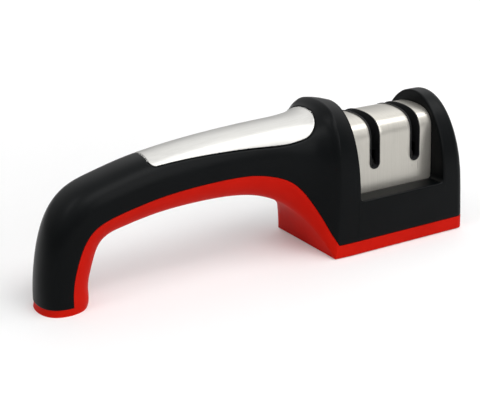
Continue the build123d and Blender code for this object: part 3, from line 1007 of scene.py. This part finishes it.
@dataclass
class UpperShell:
    """Black upper shell: the handle's top, both ears and the sill, with rounded edges."""

    form: BodyForm
    inlay: Inlay
    wall: float = 1.6
    edge: float = 0.9
    fillet: float = 1.8
    window_half: float = 15.6
    window_floor: float = 23.1
    groove_width: float = 0.4
    groove_depth: float = 0.28
    seam_gap: float = 0.04
    fine_step: float = 0.5
    coarse_step: float = 1.0
    recess_from: float = 0.7
    recess_past: float = 1.0
    recess_half: float = 15.5
    recess_wall: float = 0.4
    foot_share: float = 0.85
    ridge_share: float = 0.62
    window_margin: float = 1.2
    # Counts of columns, rows and points, and the sections where rows begin.
    over_columns: int = 42
    side_columns: int = 14
    side_crowding: float = 2.0
    rim_station: int = 2
    fine_station: int = 7
    rim_rows: int = 16
    rim_crowding: float = 1.8
    ear_rows: int = 15
    arc_points: int = 12
    sill_points: int = 42
    end_points: int = 9
    cap_rows: int = 16
    edge_columns: int = 6
    strip_columns: int = 8
    face_columns: int = 10
    turn_tries: int = 3001

    def seam_turns(self, over_seam: Callable[[Array], Array], rows: int) -> Array:
        """Turn at which each row passes the line between the shells.

        Args:
            over_seam: Gives the height over the line for one turn in each row.
            rows: Number of rows.

        Returns:
            Turns, one to a row.
        """
        return crossing(over_seam, np.zeros((rows, 1)), np.full((rows, 1), LAST_TURN))

    def side_turns(self, start: Array, seam: Array) -> Array:
        """Turns of the side columns, crowded from a start towards the seam."""
        return start + (seam - start) * crowded(self.side_columns + 1, self.side_crowding)[None, :]

    def row_turns(self, start: Array, seam: Array) -> Array:
        """Turns of all columns: in even steps from the top line to a start, then the side columns."""
        over = np.linspace(0.0, 1.0, self.over_columns + 1)[None, :-1]
        return np.concatenate((start * over, self.side_turns(start, seam)), axis=1)

    def recessed(self, grid: Array) -> Array:
        """Grid with the inlay's recess, and with its rim drawn in at the line between the shells.

        The recess has a smooth step for a wall. The groove along the seam is depth (1 - g / w)^2,
        with g the distance from the line over the face and w the groove's half width.

        Args:
            grid: Points of the outer face.

        Returns:
            The moved points.
        """
        normal = normals_of(grid)
        x, y, z = grid[..., 0], grid[..., 1], grid[..., 2]
        sink = np.zeros_like(x)
        reach = self.form.head_left + self.recess_past
        near = (z > self.recess_from * self.form.crest) & (x < reach) & (np.abs(y) < self.recess_half)
        inside = self.inlay.inside(x[near], y[near], 0.0)
        sink[near] = self.inlay.depth * smooth_step((inside + self.recess_wall) / self.recess_wall)
        slope = np.gradient(self.form.seam_height(self.form.seam_line[:, 0]), self.form.seam_line[:, 0])
        steep = np.interp(x, self.form.seam_line[:, 0], slope)
        gap = np.abs(self.form.above_seam(grid)) / np.sqrt(1.0 + steep**2)
        gap = np.minimum(gap, np.abs(z - self.form.foot_rim))
        sink += self.groove_depth * np.clip(1.0 - gap / self.groove_width, 0.0, 1.0) ** 2
        return grid - normal * sink[..., None]

    def handle_grid(self) -> Array:
        """Rows from the foot's rim to the ridge, the first ones along the rim's upper line.

        Returns:
            Points, rows by columns.
        """
        form, rim = self.form, self.form.foot_rim + self.seam_gap
        start, fine_from = (float(form.spine.knots[n]) for n in (self.rim_station, self.fine_station))
        first = 1.0 - crowded(self.rim_rows, self.rim_crowding)[::-1]
        coarse = np.arange(start + self.coarse_step, fine_from, self.coarse_step)
        fine = np.linspace(fine_from, form.spine_end, int((form.spine_end - fine_from) / self.fine_step))
        late = np.concatenate((coarse, fine))[:, None]
        rows = len(first) + len(late)

        def over_rim(along: Array, turn: Array) -> Array:
            """Height over the rim's line."""
            return form.handle(along, turn)[..., 2] - rim

        def place(turn: Array) -> Array:
            """Points of all rows, where the first rows rise from the rim's line.

            Args:
                turn: Turns, one row for each row of points.

            Returns:
                Points, rows by columns.
            """
            top = turn[:1]
            low = crossing(lambda along: over_rim(along, top), np.zeros_like(top), np.full_like(top, start))
            early = low + first[:, None] * (start - low)
            along = np.concatenate((early, late + np.zeros_like(turn[len(first):])), axis=0)
            return form.handle(along, turn)

        seam = self.seam_turns(lambda turn: form.above_seam(place(turn)), rows)
        share = np.linspace(self.foot_share, self.ridge_share, rows)[:, None]
        return self.recessed(place(self.row_turns(seam * share, seam)))

    def left_ear_grid(self, share: float) -> Array:
        """Rows from the ridge to just short of the left ear's inner face.

        Args:
            share: Share of the way to the seam where the side columns begin.

        Returns:
            Points, rows by columns.
        """
        form = self.form
        end = float(form.ear_spine.knots[-1])
        stop = form.left_x - self.edge
        steps = np.linspace(0.0, 1.0, self.ear_rows)[:, None]

        def short(along: Array, turn: Array) -> Array:
            """Distance past the place where the last row stands."""
            return form.left_ear_points(along, turn)[..., 0] - stop

        def place(turn: Array) -> Array:
            """Points of all rows, where the last row stands upright.

            Args:
                turn: Turns, one row for each row of points.

            Returns:
                Points, rows by columns.
            """
            last = turn[-1:]
            far = crossing(lambda along: short(along, last), np.zeros_like(last), np.full_like(last, end))
            return form.left_ear_points(far * steps, turn)

        seam = self.seam_turns(lambda turn: form.above_seam(place(turn)), self.ear_rows)
        ratio = np.linspace(self.ridge_share, share, self.ear_rows)[:, None]
        return place(self.row_turns(seam * ratio, seam))

    def side_path(self) -> tuple[Array, Array]:
        """Path round the saddle on the side face, and the way from it to the saddle's edge.

        It is a quarter arc round each of the two lower corners and a straight line between them.

        Returns:
            Points as x and z, and unit directions.
        """
        angle = np.linspace(0.0, math.pi / 2.0, self.arc_points)
        radius = self.fillet + self.edge
        height = self.form.sill + self.fillet
        start, end = self.form.left_x + self.fillet, self.form.right_x - self.fillet
        left = (start - radius * np.cos(angle), height - radius * np.sin(angle))
        middle_x = np.linspace(start, end, self.sill_points)[1:-1]
        right = (end + radius * np.sin(angle), height - radius * np.cos(angle))
        x = np.concatenate((left[0], middle_x, right[0]))
        z = np.concatenate((left[1], np.full_like(middle_x, self.form.sill - self.edge), right[1]))
        way_x = np.concatenate((np.cos(angle), 0.0 * middle_x, -np.sin(angle)))
        way_z = np.concatenate((np.sin(angle), 1.0 + 0.0 * middle_x, np.cos(angle)))
        return np.stack((x, z), -1), np.stack((way_x, way_z), -1)

    def turn_at(self, section: Array, height: Array | float) -> Array | float:
        """Turn at which an upright section passes a height, read from a fine table.

        Args:
            section: One section.
            height: Height or heights over the table.

        Returns:
            One turn for each height.
        """
        turns = np.linspace(0.0, LAST_TURN, self.turn_tries)
        heights = self.form.around(section, turns)[:, 2]
        return np.interp(-height, -heights, turns)

    def deck_grid(self) -> Array:
        """Side face below the saddle, one row for each point of the path.

        Returns:
            Points, rows by columns.
        """
        path, _ = self.side_path()
        section = self.form.left_section()
        start = self.turn_at(section, path[:, 1])[:, None]
        points = self.form.around(section, self.side_turns(start, self.turn_at(section, self.form.rim)))
        points[..., 0] = path[:, 0:1]
        return points

    def right_ear_grid(self) -> Array:
        """Rows from the right ear's inner face, round the end's edges and over the end face.

        The rows lean more and more until the end, where a quarter circle rounds the edge: the
        sections travel on by r sin t and draw in by r (1 - cos t). The end face narrows to the
        middle plane.

        Returns:
            Points, rows by columns.
        """
        form, count = self.form, self.arc_points
        start = form.right_x + self.edge
        end = form.head_left + form.head_length - form.end_round
        top_end = end - form.end_lean
        angle = np.linspace(0.0, math.pi / 2.0, self.end_points)[1:]
        travel = form.end_round * np.sin(angle)
        drop = np.concatenate((np.zeros(count), form.end_round * (1.0 - np.cos(angle))))
        lows = np.concatenate((np.linspace(start, end, count), end + travel))
        highs = np.concatenate((np.linspace(start, top_end, count), top_end + travel))
        tops, halves = form.right_ear_top - drop, form.half_width - drop
        sections = form.upright(lows, highs, tops, halves, form.right_crown)

        def place(turn: Array) -> Array:
            """Points of all rows."""
            return form.around(sections[:, None, :], turn)

        seam = self.seam_turns(lambda turn: place(turn)[..., 2] - form.rim, len(lows))
        first = np.full_like(seam, self.turn_at(sections[0], form.sill + self.fillet))
        points = place(self.row_turns(first, seam))
        narrow = np.linspace(1.0, 0.0, self.cap_rows)[1:, None]
        cap = np.repeat(points[-1:], len(narrow), axis=0)
        cap[..., 1] *= narrow
        return np.concatenate((points, cap), axis=0)

    def edge_loop(self, left: Array, deck: Array, right: Array) -> tuple[Array, Array, Array]:
        """Outer, sharp and inner lines of the rounded edge round the saddle.

        Args:
            left: The left ear's last row.
            deck: The deck's first column.
            right: The right ear's first row.

        Returns:
            Three rows of points along the edge.
        """
        count = self.over_columns
        _, way = self.side_path()
        parts = []
        for row, x in ((left[:count], self.form.left_x), (right[:count], self.form.right_x)):
            along = np.gradient(row, axis=0)
            normal = np.stack((np.zeros(count), -along[:, 2], along[:, 1]), -1)
            normal /= np.linalg.norm(normal, axis=-1, keepdims=True)
            sharp = row.copy()
            sharp[:, 0] = x
            inner = sharp - normal * self.edge
            inner[0, 1] = 0.0
            inner[:, 1] = np.maximum(inner[:, 1], 0.0)
            parts.append((row, sharp, inner))
        sharp = deck + self.edge * np.stack((way[:, 0], np.zeros(len(way)), way[:, 1]), -1)
        inner = sharp - np.array((0.0, self.edge, 0.0))
        lines = zip(parts[0], (deck, sharp, inner), (part[::-1] for part in parts[1]))
        return tuple(np.concatenate(line) for line in lines)

    def ear_face(self, edge: Array, window: Array, last: bool) -> Array:
        """Inner face of an ear, from its edge to the middle, with a row on the window's floor.

        Args:
            edge: Inner line of the rounded edge, along the ear.
            window: Half width of the face at each point of the line.
            last: True if the row on the floor comes last.

        Returns:
            Points, rows by columns.
        """
        face = np.repeat(edge[:, None, :], self.face_columns, axis=1)
        face[..., 1] = window[:, None] * np.linspace(1.0, 0.0, self.face_columns)[None, :]
        lowered = (face[-1:] if last else face[:1]).copy()
        lowered[..., 2] = self.window_floor
        return np.concatenate((face, lowered) if last else (lowered, face))

    def build(self, shop: Workshop) -> None:
        """Makes the shell from its outer faces, the rounded edge, the ears' inner faces and the sill.

        The rounding is a Bezier curve (1-s)^2 a + 2 s (1-s) b + s^2 c over the edge's lines.

        Args:
            shop: The workshop that keeps the piece.
        """
        form, count = self.form, self.over_columns
        section = form.left_section()
        share = self.turn_at(section, form.sill + self.fillet) / self.turn_at(section, form.rim)
        handle = self.handle_grid()
        left = self.recessed(self.left_ear_grid(share))
        handle[-1] = left[0]
        deck = self.recessed(self.deck_grid())
        deck[0] = left[-1, count:]
        right = self.recessed(self.right_ear_grid())
        deck[-1] = right[0, count:]
        outer, sharp, inner = (line[:, None] for line in self.edge_loop(left[-1], deck[:, 0], right[0]))
        step = np.linspace(0.0, 1.0, self.edge_columns)[None, :, None]
        rounding = (1 - step) ** 2 * outer + 2 * step * (1 - step) * sharp + step**2 * inner
        inner = inner[:, 0]
        half = inner[:, 1]
        full = form.half_width - self.edge - self.window_margin
        window = np.minimum(self.window_half, half * self.window_half / full)
        strip = np.repeat(inner[:, None, :], self.strip_columns, axis=1)
        strip[..., 1] = half[:, None] + (window - half)[:, None] * np.linspace(0.0, 1.0, self.strip_columns)
        left_face = self.ear_face(inner[: count + 1], window[: count + 1], True)
        right_face = self.ear_face(inner[-count - 1 :], window[-count - 1 :], False)
        sheet = MeshSheet()
        for grid in (handle, left, deck, right):
            sheet.add_pair(grid)
        for grid in (rounding, strip, left_face, right_face):
            sheet.add_pair(grid, flip=True)
        piece = sheet.build("upper_shell_skin")
        thicken(piece, self.wall)
        shop.keep(piece, SHELL_BLACK, "upper_shell")


@dataclass
class HeadCover:
    """Bent steel sheet over the head, with a slot over each pair of wheels."""

    form: BodyForm
    foot_half: float = 15.5
    shoulder_half: float = 14.7
    shoulder: float = 48.0
    top: float = 58.8
    crown: float = 0.72
    floor: float = 23.0
    end_gap: float = 0.1
    sheet_thickness: float = 0.8
    slot_half: float = 2.75
    slot_bottom: float = 35.5
    slots: tuple[float, float] = (27.3, 50.2)
    edge: float = 0.18
    straight_points: int = 14
    round_points: int = 22
    slot_points: int = 17
    strip_rows: int = 10
    side_columns: int = 12

    def half_profile(self) -> Array:
        """Half of the hood's cross line from the slots' lower centres to the top, as y and z.

        It is straight up to the shoulder, then a Bezier quarter to the top.

        Returns:
            Points of the line.
        """
        z = np.linspace(self.slot_bottom + self.slot_half, self.shoulder, self.straight_points)
        share = np.linspace(0.0, 1.0, self.round_points)[1:]
        full = self.shoulder + self.crown * (self.top - self.shoulder)
        half = self.shoulder_half
        round_y = bezier(share, half, half, self.crown * half, 0.0)
        round_z = bezier(share, self.shoulder, full, self.top, self.top)
        return np.stack((np.concatenate((self.side(z), round_y)), np.concatenate((z, round_z))), -1)

    def side(self, z: Array) -> Array:
        """Half width of the flat side at a height."""
        share = np.clip((z - self.form.sill) / (self.shoulder - self.form.sill), 0.0, 1.0)
        return self.foot_half + (self.shoulder_half - self.foot_half) * share

    def build(self, shop: Workshop) -> None:
        """Makes the strips between the slots and the flat sides below the slots' round ends.

        Args:
            shop: The workshop that keeps the piece.
        """
        left, right = self.form.left_x + self.end_gap, self.form.right_x - self.end_gap
        centres = [self.form.head_left + slot for slot in self.slots]
        edges = [left, *(c + s * self.slot_half for c in centres for s in (-1, 1)), right]
        profile = self.half_profile()
        start = profile[0, 1]
        sheet = MeshSheet()
        columns, tops = [], []
        for number, (low, high) in enumerate(zip(edges, edges[1:])):
            if number % 2:
                angle = np.linspace(math.pi, 0.0, self.slot_points)
                middle = (low + high) / 2.0
                columns.append(middle + self.slot_half * np.cos(angle))
                tops.append(start - self.slot_half * np.sin(angle))
                continue
            x = np.linspace(low, high, self.strip_rows)
            columns.append(x)
            tops.append(np.full_like(x, start))
            strip = np.empty((len(x), len(profile), 3))
            strip[..., 0] = x[:, None]
            strip[..., 1:] = profile[None]
            sheet.add_pair(strip[:, ::-1])
        x, top = np.concatenate(columns), np.concatenate(tops)
        z = top[:, None] + (self.floor - top[:, None]) * np.linspace(0.0, 1.0, self.side_columns)
        sheet.add_pair(np.stack((np.repeat(x[:, None], self.side_columns, axis=1), self.side(z), z), -1))
        piece = sheet.build("head_cover_sheet")
        thicken(piece, self.sheet_thickness)
        soften(piece, self.edge)
        shop.keep(piece, COVER_STEEL, "head_cover")


# Lamps: name, place, size along the horizon and across it, and power in watts.
LAMPS = (
    ("overhead", (0.22, -0.44, 0.83), (1.3, 0.42), 6.0),
    ("back_right", (0.45, 0.55, 0.85), (0.8, 0.8), 0.7),
    ("left", (-0.66, -0.12, 0.80), (0.25, 0.5), 1.3),
    ("front_right", (0.30, -1.05, 0.50), (0.6, 0.6), 3.0),
)


@dataclass
class Studio:
    """Floor, lamps, sky and camera."""

    eye: Point = (-0.2300, -0.3828, 0.1884)
    azimuth: float = 30.3
    elevation: float = 20.37
    roll: float = -1.19
    lens: float = 80.625
    sensor: float = 36.0
    floor_half: float = 3.0
    floor_colour: Colour = (0.80, 0.80, 0.80)
    floor_rough: float = 0.75
    floor_glow: float = 0.16
    far_light: float = 0.36
    glow_from: float = 0.12
    glow_to: float = 0.9
    sky_light: float = 0.45
    horizon_light: float = 0.20
    zenith_light: float = 1.70
    full_height: float = 0.75
    lamp_aim: Point = (0.03, 0.0, 0.03)

    def camera(self) -> None:
        """Makes the camera from its place and its three angles.

        The view direction is d = (sin a cos e, cos a cos e, -sin e), right is (cos a, -sin a, 0)
        and up is right x d; roll turns right and up about d.
        """
        a, e, roll = (math.radians(x) for x in (self.azimuth, self.elevation, self.roll))
        forward = Vector((math.sin(a) * math.cos(e), math.cos(a) * math.cos(e), -math.sin(e)))
        level = Vector((math.cos(a), -math.sin(a), 0.0))
        above = level.cross(forward)
        right = level * math.cos(roll) + above * math.sin(roll)
        up = above * math.cos(roll) - level * math.sin(roll)
        data = bpy.data.cameras.new("camera")
        data.lens = self.lens
        data.sensor_fit = "HORIZONTAL"
        data.sensor_width = self.sensor
        made = bpy.data.objects.new("camera", data)
        bpy.context.scene.collection.objects.link(made)
        turn = Matrix((right, up, -forward)).transposed().to_4x4()
        made.matrix_world = Matrix.Translation(Vector(self.eye)) @ turn
        bpy.context.scene.camera = made

    def lamp(self, name: str, place: Point, size: tuple[float, float], power: float) -> None:
        """Adds a soft lamp that looks at the object.

        Args:
            name: The lamp's name.
            place: Where it hangs.
            size: Its width along the horizon and its other side.
            power: Its power in watts.
        """
        data = bpy.data.lights.new(name, "AREA")
        data.shape = "RECTANGLE"
        data.size, data.size_y = size
        data.energy = power
        made = bpy.data.objects.new(name, data)
        bpy.context.scene.collection.objects.link(made)
        turn = (Vector(self.lamp_aim) - Vector(place)).to_track_quat("-Z", "Y")
        made.matrix_world = Matrix.Translation(Vector(place)) @ turn.to_matrix().to_4x4()

    def floor(self) -> None:
        """Makes the pale floor, which keeps the shadow and shows white to the camera."""
        h = self.floor_half
        mesh = bpy.data.meshes.new("floor")
        mesh.from_pydata([(-h, -h, 0), (h, -h, 0), (h, h, 0), (-h, h, 0)], [], [(0, 1, 2, 3)])
        floor = bpy.data.objects.new("floor", mesh)
        bpy.context.scene.collection.objects.link(floor)
        book = SurfaceBook("floor_pale")
        far = book.feed(book.node("VectorMath", operation="LENGTH"), Vector=book.place())
        rise = book.feed(
            book.node("MapRange"), Value=far.outputs["Value"], From_Min=self.glow_from,
            From_Max=self.glow_to, To_Min=self.floor_glow, To_Max=1.0 - self.far_light,
        )
        glow = book.maths("MULTIPLY", book.seen(), rise.outputs["Result"])
        book.feed(book.shader, Base_Color=(*self.floor_colour, 1.0), Roughness=self.floor_rough)
        book.feed(book.shader, Emission_Color=(1.0, 1.0, 1.0, 1.0), Emission_Strength=glow)
        mesh.materials.append(book.material)

    def sky(self) -> None:
        """Sets the sky: even light on the object, white to the camera, brighter overhead in gloss.

        A reflected ray meets a light that rises in a straight line with the ray's own height,
        from the horizon's value to the zenith's, as the ceiling of a studio is brighter than
        its walls.
        """
        world = bpy.data.worlds.new("studio")
        book = NodeBook(world)
        coordinate = book.node("TexCoord").outputs["Generated"]
        height = book.feed(book.node("SeparateXYZ"), Vector=coordinate).outputs["Z"]
        ends = {"From_Max": self.full_height, "To_Min": self.horizon_light, "To_Max": self.zenith_light}
        rise = book.feed(book.node("MapRange"), Value=height, **ends).outputs["Result"]
        plain = book.feed(book.node("MapRange"), Value=book.seen(), To_Min=self.sky_light)
        glossy = book.node("LightPath").outputs["Is Glossy Ray"]
        mixed = book.feed(book.node("Mix"), Factor=glossy, A=plain.outputs["Result"], B=rise)
        light = book.feed(book.node("Background"), Strength=mixed.outputs["Result"])
        book.feed(light, Color=(1.0, 1.0, 1.0, 1.0))
        book.feed(book.node("OutputWorld"), Surface=light.outputs["Background"])
        bpy.context.scene.world = world

    def build(self) -> None:
        """Sets up the whole studio."""
        bpy.context.scene.view_settings.view_transform = "Standard"
        self.camera()
        self.floor()
        self.sky()
        for lamp in LAMPS:
            self.lamp(*lamp)


def main() -> None:
    """Builds the studio, dresses the nodes and adds the visible pieces."""
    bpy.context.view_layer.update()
    workshop = Workshop()
    Studio().build()
    workshop.dress_nodes()
    form = BodyForm()
    inlay = Inlay(form)
    inlay.build(workshop)
    UpperShell(form, inlay).build(workshop)
    HeadCover(form).build(workshop)


if __name__ == "__main__":
    main()
